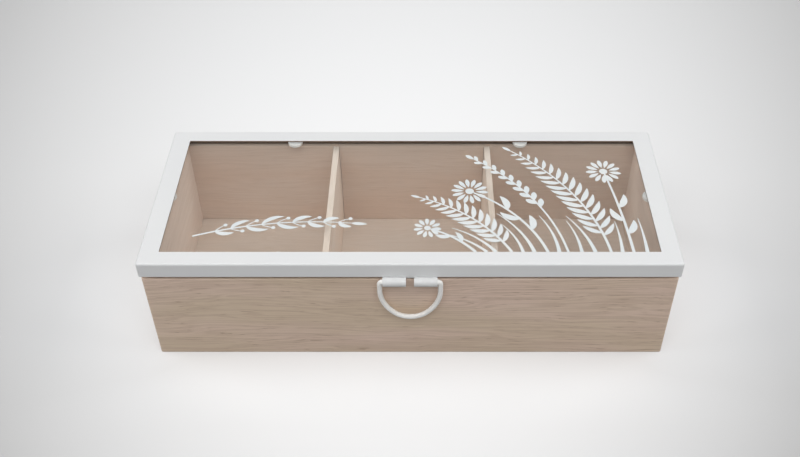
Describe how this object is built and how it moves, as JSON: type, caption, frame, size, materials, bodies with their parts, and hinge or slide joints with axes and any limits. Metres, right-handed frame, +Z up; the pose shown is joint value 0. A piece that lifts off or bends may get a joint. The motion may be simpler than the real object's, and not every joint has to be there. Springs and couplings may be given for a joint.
{
  "type": "tea bag box",
  "caption": "Low wooden box divided into compartments for tea bags, with a hinged white lid framing a glass pane and a small swinging wire pull.",
  "frame": {"origin": "on the surface that the box stands on, under the middle of the lid", "axes": "+X along the box to the right, +Y from the front with the pull to the hinged back, +Z up"},
  "size_m": [0.24, 0.103, 0.0598],
  "materials": {
    "oak_board": "matt pale oak grain",
    "floor_board": "matt pale board",
    "divider_board": "matt pale beech",
    "white_paint": "satin white paint",
    "clear_glass": "clear polished",
    "white_metal": "satin white enamel",
    "white_pad": "matt white",
    "plated_steel": "zinc plated"
  },
  "bodies": {
    "box": {"front_wall": "oak_board", "right_wall": "oak_board", "back_wall": "oak_board", "left_wall": "oak_board", "bottom_panel": "floor_board", "divider_1": "divider_board", "divider_2": "divider_board", "hinge_left_box_leaf": "plated_steel", "hinge_left_pin": "plated_steel", "hinge_right_box_leaf": "plated_steel", "hinge_right_pin": "plated_steel"},
    "lid": {"lid_frame": "white_paint", "lid_glass": "clear_glass", "pad_back_left": "white_pad", "pad_back_right": "white_pad", "pad_front_left": "white_pad", "pad_front_right": "white_pad", "pad_side_left": "white_pad", "pad_side_right": "white_pad", "hinge_left_lid_leaf": "plated_steel", "hinge_right_lid_leaf": "plated_steel", "pull_bracket": "white_metal"},
    "bail": {"bail": "white_metal"}
  },
  "joints": [
    {"name": "lid_hinge", "type": "hinge", "parent": "box", "child": "lid", "pos_m": [0, 0.04995, 0.0508], "axis": [-1, 0, 0], "range_deg": [0, 205]},
    {"name": "bail_swing", "type": "hinge", "parent": "lid", "child": "bail", "pos_m": [0, -0.04945, 0.0505], "axis": [-1, 0, 0], "range_deg": [-2, 180]}
  ]
}
